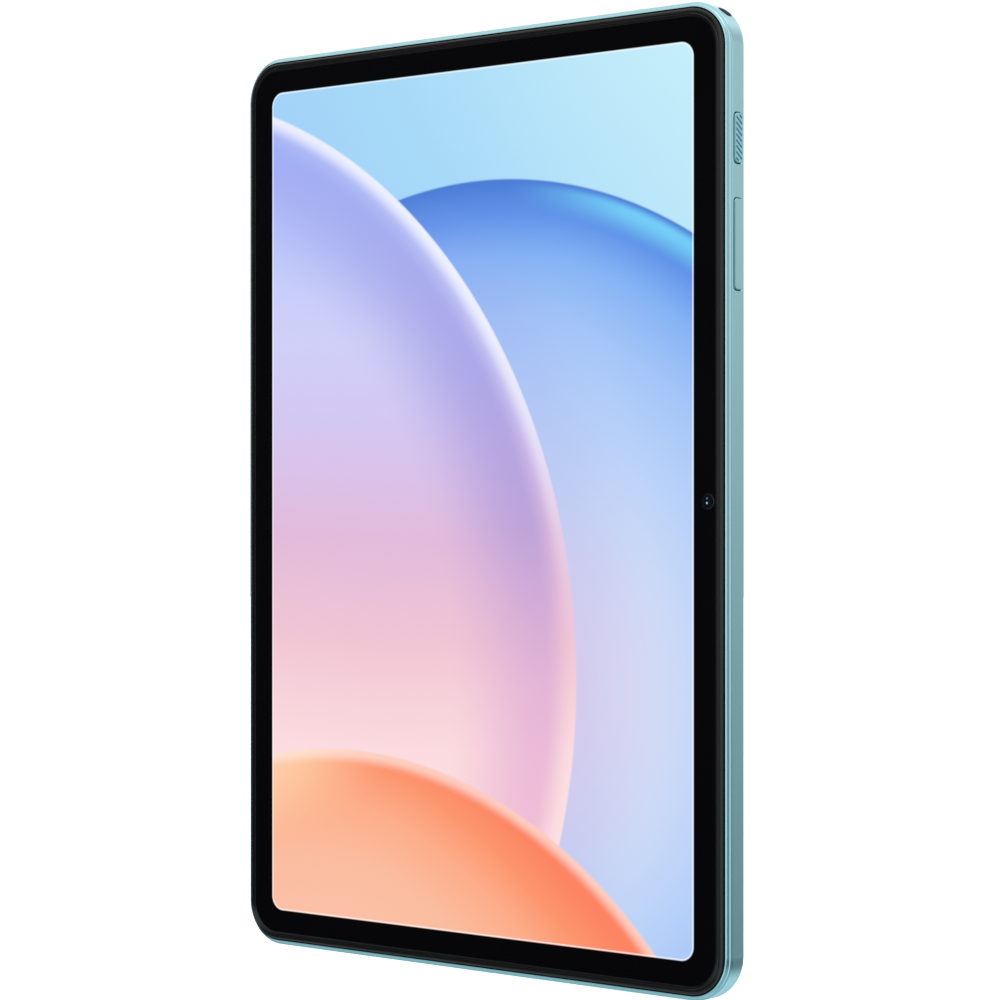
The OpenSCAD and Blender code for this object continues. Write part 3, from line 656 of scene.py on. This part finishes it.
shell_profile = [
    (CAVITY_R - 1.4, FLOOR_Y), (CAVITY_R, FLOOR_Y), (CAVITY_R, FRONT_Y + REBATE_DEPTH),
    (LIP_R, FRONT_Y + REBATE_DEPTH), (LIP_R, FRONT_Y + 1.2), (LIP_R - 0.06, FRONT_Y + 1.1),
    (LIP_R - 0.06, FRONT_Y + 0.71), (LIP_R - 0.04, FRONT_Y + 0.67), (LIP_R, FRONT_Y + 0.655),
    # Cut lip, a shallow groove, and a fine ridge before the flat side
    (LIP_R + 0.35, FRONT_Y + 0.8), (LIP_R + 0.42, FRONT_Y + 0.87), (LIP_R + 0.48, FRONT_Y + 0.98),
    (LIP_R + 0.54, FRONT_Y + 1.17), (LIP_R + 0.6, FRONT_Y + 1.27), (LIP_R + 0.69, FRONT_Y + 1.32),
    (LIP_R + 0.91, FRONT_Y + 1.4), (LIP_R + 1.0, FRONT_Y + 1.46), (LIP_R + 1.06, FRONT_Y + 1.55),
    (LIP_R + 1.12, FRONT_Y + 1.8), (CORNER_R, FRONT_Y + 2.1)]
shell_profile += arc(CORNER_R - ROUND_BACK, -ROUND_BACK, ROUND_BACK, 0, 90, 12)
shell = sweep("rear_shell", shell_profile, outline_stations)

corner = Vector((HALF_W - CORNER_R, PORT_Y, HALF_H - CORNER_R))
jack_out = Vector((math.cos(JACK_ANGLE), 0, math.sin(JACK_ANGLE)))
side_x = (HALF_W - LIP_W - 1, HALF_W - CHAMFER, HALF_W + 1)
flare = [(side_x[0], 0), (HALF_W - 0.2, 0), (side_x[2], 1.2)]
mirrored_flare = [(-side_x[0], 0), (-side_x[1], 0), (-side_x[2], 1 + CHAMFER)]


def key_slot(length, z, radius):
    return slot_prism(length / 2 + KEY_GAP, KEY_W / 2 + KEY_GAP, radius + KEY_GAP,
                      (KEY_Y, z), "x", flare)


def edge_hole(x, y, side, r, chamfer=CHAMFER):
    wall = side * HALF_H
    return tube_between((x, y, wall - side * 2.6), (x, y, wall + side),
                        [(0, r), (2.6 - chamfer, r), (3.6, r + chamfer + 1)])


cutters = [
    key_slot(POWER_LEN, POWER_Z, POWER_R),
    key_slot(VOLUME_LEN, VOLUME_Z, VOLUME_R),
    slot_prism(TRAY_LEN / 2 + 0.1, TRAY_W / 2 + 0.1, TRAY_W / 2 + 0.1, (TRAY_Y, TRAY_Z),
               "x", mirrored_flare),
    slot_prism(USB_HALF_LEN, USB_HALF_W, USB_HALF_W, (0, PORT_Y), "z",
               [(-HALF_H + 2.6, 0), (-HALF_H + 0.25, 0), (-HALF_H - 1, 1.25)]),
    tube_between(corner + jack_out * 6, corner + jack_out * 12,
                 [(0, JACK_NOSE_R), (3.4, JACK_NOSE_R), (3.4, JACK_R), (4.66, JACK_R),
                  (6, JACK_R + 1.34)]),
    edge_hole(*UPPER_MIC, 1, MIC_R, MIC_CHAMFER),
    edge_hole(*LOWER_MIC, -1, MIC_R, MIC_CHAMFER),
    tube_between((CAMERA_X, -2, CAMERA_Z), (CAMERA_X, 1, CAMERA_Z), [(0, 7.45), (3, 7.45)], 96),
]
cutters += [edge_hole(GRILLE_X + i * GRILLE_PITCH, PORT_Y, side, GRILLE_R)
            for side in (-1, 1) for i in range(-3, 4)]


def window_cutter(half_w, half_h, radius, low, high):
    shape = [(a, c + WINDOW_Z) for a, c in stadium(half_w, half_h, radius)]
    return loft("window", [[(a, y, c) for a, c in shape] for y in (low, high)])


cutters.append(window_cutter(WINDOW_W / 2, WINDOW_H / 2, WINDOW_R, -0.45, 1))
cut(shell, cutters)
cut(shell, [window_cutter(WINDOW_W / 2 - 3, WINDOW_H / 2 - 1.5, 1.5, -2, 0)])
piece(shell, "rear_shell", "tablet", "anodised_mint", metal, "rear_housing")

# ---- black shoulder and glass ----

GLASS_R = GLASS_HALF_W - (HALF_W - CORNER_R)
SHOULDER_IN = GLASS_R + 0.06
SHOULDER_OUT = CAVITY_R - SEAM
CELL_Y = GLASS_BACK_Y + 0.15
FRONT_CAM_X = 68.86

shoulder_profile = [
    (GLASS_R - 4, CELL_Y), (SHOULDER_IN, CELL_Y), (SHOULDER_IN, FRONT_Y + 0.04),
    (SHOULDER_IN + 0.04, FRONT_Y + 0.01), (SHOULDER_IN + 0.1, FRONT_Y + 0.02),
    (SHOULDER_IN + 0.25, FRONT_Y + 0.047), (SHOULDER_IN + 0.45, FRONT_Y + 0.085),
    (SHOULDER_IN + 0.6, FRONT_Y + 0.115),
    # Fine step between the two curves of the shoulder
    (SHOULDER_IN + 0.63, FRONT_Y + 0.135), (SHOULDER_IN + 0.7, FRONT_Y + 0.145),
    (SHOULDER_IN + 0.95, FRONT_Y + 0.195), (SHOULDER_IN + 1.2, FRONT_Y + 0.255),
    (SHOULDER_IN + 1.4, FRONT_Y + 0.31), (SHOULDER_IN + 1.58, FRONT_Y + 0.37),
    (SHOULDER_IN + 1.7, FRONT_Y + 0.43), (SHOULDER_IN + 1.79, FRONT_Y + 0.5),
    (SHOULDER_IN + 1.86, FRONT_Y + 0.6), (SHOULDER_IN + 1.91, FRONT_Y + 0.74),
    (SHOULDER_IN + 1.92, FRONT_Y + 1.0),
    # Groove that shows as the dark seam beside the metal
    (LIP_R - SEAM - 0.2, FRONT_Y + 1.2), (LIP_R - SEAM - 0.2, FRONT_Y + 1.5),
    (LIP_R - SEAM, FRONT_Y + 1.6), (LIP_R - SEAM, FRONT_Y + REBATE_DEPTH - SEAM),
    (SHOULDER_OUT, FRONT_Y + REBATE_DEPTH - SEAM), (SHOULDER_OUT, BEZEL_BACK_Y),
    (GLASS_R - 4, BEZEL_BACK_Y)]
shoulder = sweep("shoulder", shoulder_profile, outline_stations, closed=True)
jack_room = tube_between(corner - jack_out * 6, corner + jack_out * 11, [(0, 3.4), (17, 3.4)])
cut(shoulder, [block((60, FRONT_CAM_X + 2.3), (CELL_Y - 0.1, 0), (-2.3, 2.3)),
               block((60, FRONT_CAM_X + 1.3), (CELL_Y - 0.1, 0), (10.7, 13.3)), jack_room,
               block((HALF_W - 3.5, HALF_W), (KEY_Y - KEY_W / 2 - 0.65, 0),
                     (VOLUME_Z - VOLUME_LEN / 2 - 1, POWER_Z + POWER_LEN / 2 + 1))])
shoulder_look = grained("shoulder_plastic", (15, 15, 16), 0.0, 0.14, 0.6, 0.0012, 0.1,
                        Specular_IOR_Level=0.42)
piece(shoulder, "bezel_shoulder", "tablet", "black_plastic", shoulder_look, "bezel_frame")

glass_profile = [(GLASS_R, GLASS_BACK_Y), (GLASS_R, FRONT_Y + 0.09),
                 (GLASS_R - 0.02, FRONT_Y + 0.04), (GLASS_R - 0.06, FRONT_Y + 0.01),
                 (GLASS_R - 0.11, FRONT_Y)]
glass = sweep("glass", glass_profile, outline(GLASS_HALF_W, GLASS_HALF_H, GLASS_R))
lens_hole = tube_between((FRONT_CAM_X, -9, 0), (FRONT_CAM_X, 0, 0), [(0, 1.78), (9, 1.78)], 64)
cut(glass, [lens_hole])
piece(glass, "front_glass", "tablet", "black_glass", screen_glass(), "cover_glass")

window = lathe("window", [(1.74, GLASS_BACK_Y), (1.76, FRONT_Y + 0.05), (1.72, FRONT_Y + 0.015),
                          (1.66, FRONT_Y + 0.004)], (FRONT_CAM_X, 0), 64)
window_look = camera_window_material("front_camera_window", (FRONT_CAM_X, 0), (
    (0, (4, 8, 26)), (0.55, (5, 9, 28)), (1.0, (4, 6, 18)), (1.16, (1, 1, 4)),
    (1.3, (7, 9, 22)), (1.5, (5, 6, 14)), (1.8, (4, 4, 8))))
piece(window, "front_camera_window", "tablet", "lens_glass", window_look)

# ---- keys ----


def key_body(length, z, radius, gap):
    """A key cap with a rolled edge on its face, and the flange behind the wall."""
    back = HALF_W - LIP_W - gap - 0.5
    face = HALF_W + KEY_PROUD
    flange = [(back, 0.5), (back + 0.5, 0.5), (back + 0.5, 0)]
    roll = [(face - 0.2 * (1 - math.sin(math.radians(a))),
             0.2 * (math.cos(math.radians(a)) - 1)) for a in range(0, 91, 15)]
    rings = []
    for x, grow in flange + roll:
        rings.append([(x, KEY_Y + c, z + a)
                      for a, c in stadium(length / 2, KEY_W / 2, radius, grow)])
    return loft("key", rings)


def groove_bars():
    """Slanted bars that stay inside the power key's rim."""
    half_len, half_w = POWER_LEN / 2 - 0.22, KEY_W / 2 - 0.22
    slant = Vector((0, math.cos(GROOVE_SLANT), -math.sin(GROOVE_SLANT)))
    bars = []
    for i in range(GROOVE_COUNT):
        place = POWER_Z + (i - (GROOVE_COUNT - 1) / 2) * GROOVE_PITCH
        middle = Vector((HALF_W + KEY_PROUD + GROOVE_R - GROOVE_DEPTH, KEY_Y, place))
        inside = []
        for k in range(-60, 61):
            spot = middle + slant * (k * 0.04)
            across, along = spot.y - KEY_Y, abs(spot.z - POWER_Z)
            over = math.hypot(max(0, abs(across) - half_w + POWER_R),
                              max(0, along - half_len + POWER_R))
            if over <= POWER_R - GROOVE_R:
                inside.append(spot)
        if len(inside) > 8:
            bars.append(capsule(inside[0], inside[-1], GROOVE_R))
    return bars


power = key_body(POWER_LEN, POWER_Z, POWER_R, 0.1)
cut(power, groove_bars())
piece(power, "power_key_cap", "power_key", "anodised_mint", metal, "power_button")
volume = key_body(VOLUME_LEN, VOLUME_Z, VOLUME_R, 0.25)
piece(volume, "volume_key_cap", "volume_key", "anodised_mint", metal, "volume_button")

# ---- rear camera ----

ring_profile = [(6.2, -0.6), (7.35, -0.6), (7.35, 0.04), (RING_R - 0.06, 0.04)]
ring_profile += arc(RING_R - 0.35, 0.42, 0.35, -10, 90, 6)
ring_profile += arc(RING_R - 1.2, RING_H - 0.33, 0.33, 0, 90, 6)
ring_profile += [(7.3, RING_H), (7.16, RING_H - 0.1), (7.1, RING_H - 0.2), (7.1, RING_H - 0.7),
                 (6.2, RING_H - 0.7)]
ring = ring_lathe("ring", ring_profile, (CAMERA_X, CAMERA_Z), smooth_angle=28)
piece(ring, "rear_camera_ring", "tablet", "anodised_mint", metal, "camera_ring")

cover = ring_lathe("cover", [(3.1, RING_H - 0.68), (7.05, RING_H - 0.68), (7.05, RING_H - 0.22),
                             (6.98, RING_H - 0.15), (3.1, RING_H - 0.15)],
                   (CAMERA_X, CAMERA_Z))
cover_look = grained("rear_camera_glass", (5, 5, 7), 0.0, 0.05, 3, 0.0002, 0.2)
piece(cover, "rear_camera_cover", "tablet", "black_glass", cover_look, "camera_glass")

lens_window = lathe("lens_window", [(3.08, RING_H - 0.66), (3.08, RING_H - 0.17)],
                    (CAMERA_X, CAMERA_Z))
clear, clear_nodes, clear_shader = material("clear_lens_cover", Transmission_Weight=1.0)
clear_shader.inputs["IOR"].default_value = 1.45
paint(clear_nodes, clear_shader, Roughness=clear_nodes.noise(2, 2) * 0.02,
      Base_Color=clear_nodes.mix(clear_nodes.noise(1.5, 1), (0.88, 0.9, 0.97), (0.97, 0.96, 1.0)))
piece(lens_window, "rear_camera_window", "tablet", "lens_glass", clear)

# ---- card tray ----

tray_rings = []
for x, grow in ([(-HALF_W + 0.9, 0), (-HALF_W + 0.18, 0)]
                + [(-HALF_W + 0.16 * (1 - math.sin(math.radians(a))),
                    0.16 * (math.cos(math.radians(a)) - 1)) for a in range(15, 91, 15)]):
    tray_rings.append([(x, TRAY_Y + c, TRAY_Z + a)
                       for a, c in stadium(TRAY_LEN / 2, TRAY_W / 2, TRAY_W / 2, grow)])
tray_face = loft("tray_face", tray_rings)
carrier = block((-HALF_W + 0.8, TRAY_END), (TRAY_BACK_Y, TRAY_BACK_Y + CARRIER_T),
                (CARD_Z - CARRIER_HALF_W, CARD_Z + CARRIER_HALF_W))
# Seat for the card, and the open window under it
card_seat = block((TRAY_END - 1.2 - CARD_LEN, TRAY_END - 1.2),
                  (TRAY_BACK_Y - 1, TRAY_BACK_Y + 0.72),
                  (CARD_Z - CARD_HALF_W, CARD_Z + CARD_HALF_W))
card_window = block((TRAY_END + 1 - CARD_LEN, TRAY_END - 3), (TRAY_BACK_Y - 1, TRAY_BACK_Y + 2),
                    (CARD_Z - CARD_HALF_W + 1, CARD_Z + CARD_HALF_W - 1))
cut(carrier, [card_seat, card_window])
cut(tray_face, [bevel(carrier, 0.08)], operation="UNION")
pinhole_z = TRAY_Z - TRAY_LEN / 2 + TRAY_W / 2
cut(tray_face, [tube_between((-HALF_W + 2, TRAY_Y, pinhole_z), (-HALF_W - 1, TRAY_Y, pinhole_z),
                             [(0, PINHOLE_R), (1.92, PINHOLE_R), (3, PINHOLE_R + 1.08)])])
piece(tray_face, "card_tray_face", "card_tray", "anodised_mint", metal, "card_tray")

# ---- camera, light and floor ----

CAMERA_PLACE = (0.4151, -0.51795, 0.0001)
CAMERA_TURN = math.radians(38.493)
CAMERA_LENS = 98.38

scene = bpy.context.scene
scene.view_settings.view_transform = "Standard"

camera = bpy.data.objects.new("camera", bpy.data.cameras.new("camera"))
camera.location = CAMERA_PLACE
camera.rotation_euler = (math.radians(90), 0, CAMERA_TURN)
camera.data.lens = CAMERA_LENS
camera.data.sensor_width = 36
camera.data.shift_x = 0.0004
camera.data.shift_y = 0.001
camera.data.clip_start = 0.01
scene.collection.objects.link(camera)
scene.camera = camera


def softbox(name, place, aim, size, power, colour):
    lamp = bpy.data.lights.new(name, "AREA")
    lamp.shape = "RECTANGLE"
    lamp.size, lamp.size_y = size
    lamp.energy = power
    lamp.color = colour
    obj = bpy.data.objects.new(name, lamp)
    obj.location = place
    obj.rotation_euler = (Vector(aim) - Vector(place)).to_track_quat("-Z", "Y").to_euler()
    obj.visible_camera = False
    scene.collection.objects.link(obj)
    return obj


softbox("top_light", (0.5, 0.3, 1.3), (0, 0, 0), (1.0, 1.0), 3, (1, 1, 1))
back_light = softbox("back_light", (-0.3, 1.3, 0.9), (0, 0, 0), (1.2, 0.9), 3, (1, 1, 1))
back_light.visible_glossy = False


# Directions in the room, in degrees from +X towards -Y
ROOM = {"front": 80, "left": 143, "right": 24, "behind": 240, "back_right": -75}
CORNER_GLOW = (0.2, 0.824, 0.53)


def room_level(x, y, z):
    """Brightness of the soft room in a direction."""
    # Falls from above to just under the horizon, then rises again as from a pale floor
    level = z.step(-0.24, 0.22, smooth=False) * 0.86 + 0.2 + (1 - z.step(-0.58, -0.36)) * 0.5
    flat = (x * x + y * y).sqrt().max(0.001)
    toward = {name: (x * math.cos(math.radians(a)) - y * math.sin(math.radians(a))) / flat
              for name, a in ROOM.items()}
    right_dip = toward["right"].step(0.8, 0.98) * 0.45
    behind = toward["behind"].step(0.6, 0.95) * 0.35
    upper_dip = toward["back_right"].step(0.76, 0.94) * z.step(0.12, 0.34) * 0.48
    level = level * (1 - right_dip) * (1 - upper_dip) + behind
    # Small glows that the rounded corners pick up
    gx, gy, gz = CORNER_GLOW
    corner_glow = (x * gx + y * gy + z.abs() * gz).step(0.972, 0.994)
    level = level + corner_glow * (z.step(-0.1, 0.1) * 0.32 + 0.4)
    # Bright strip that lights the edge of the shoulder and the cut lip
    front_strip = toward["front"].step(0.93, 0.985) * (1 - z.abs().step(0.5, 0.8))
    level = level * (1 - front_strip) + front_strip * 1.15
    # Dark side that the glass mirrors, with a lighter band low down for the metal
    left_side = toward["left"].step(0.64, 0.82)
    low_band = (1 - z.step(-0.26, -0.17)) * z.step(-0.42, -0.36)
    dark = left_side * (1 - z.abs().step(0.5, 0.62)) * (1 - low_band * 0.7)
    return level * (1 - dark * 0.93) + left_side * low_band * 0.35


def studio():
    """A white backdrop for the camera, and a soft room that is dark towards the front left."""
    world = bpy.data.worlds.new("studio")
    world.use_nodes = True
    scene.world = world
    nodes = Nodes(world.node_tree)
    source = nodes.new("ShaderNodeTexCoord").outputs["Generated"]
    split = nodes.new("ShaderNodeSeparateXYZ")
    nodes.tree.links.new(source, split.inputs[0])
    x, y, z = (Number(nodes, split.outputs[i]) for i in range(3))
    room = nodes.new("ShaderNodeBackground")
    nodes.put(room.inputs["Color"],
              nodes.mix(z.step(-0.2, 0.14), (0.78, 0.96, 1.0), (1.0, 0.99, 0.98)))
    nodes.put(room.inputs["Strength"], room_level(x, y, z))
    white = nodes.new("ShaderNodeBackground")
    white.inputs["Color"].default_value = (1, 1, 1, 1)
    white.inputs["Strength"].default_value = 1.05
    choose = nodes.new("ShaderNodeMixShader")
    seen = nodes.new("ShaderNodeLightPath").outputs["Is Camera Ray"]
    out = nodes.new("ShaderNodeOutputWorld")
    nodes.tree.links.new(seen, choose.inputs[0])
    nodes.tree.links.new(room.outputs[0], choose.inputs[1])
    nodes.tree.links.new(white.outputs[0], choose.inputs[2])
    nodes.tree.links.new(choose.outputs[0], out.inputs[0])


studio()

FLOOR_R, FLOOR_STEPS = 2600, 96
floor_z = cad_bounds[0].z / MM - 0.5
floor_rings = [[(FLOOR_R * math.cos(2 * math.pi * k / FLOOR_STEPS),
                 FLOOR_R * math.sin(2 * math.pi * k / FLOOR_STEPS), z)
                for k in range(FLOOR_STEPS)] for z in (floor_z - 4, floor_z)]
floor = loft("floor", floor_rings)
floor_look, floor_nodes, floor_shader = material("pale_floor", Roughness=0.7)
floor_shader.inputs["Emission Strength"].default_value = 0.95
paint(floor_nodes, floor_shader, Emission_Color=(1.0, 1.0, 1.0),
      Base_Color=floor_nodes.mix(floor_nodes.noise(40, 2), (0.86, 0.86, 0.86), (0.89, 0.89, 0.89)))
floor.data.materials.append(floor_look)
floor.visible_glossy = False
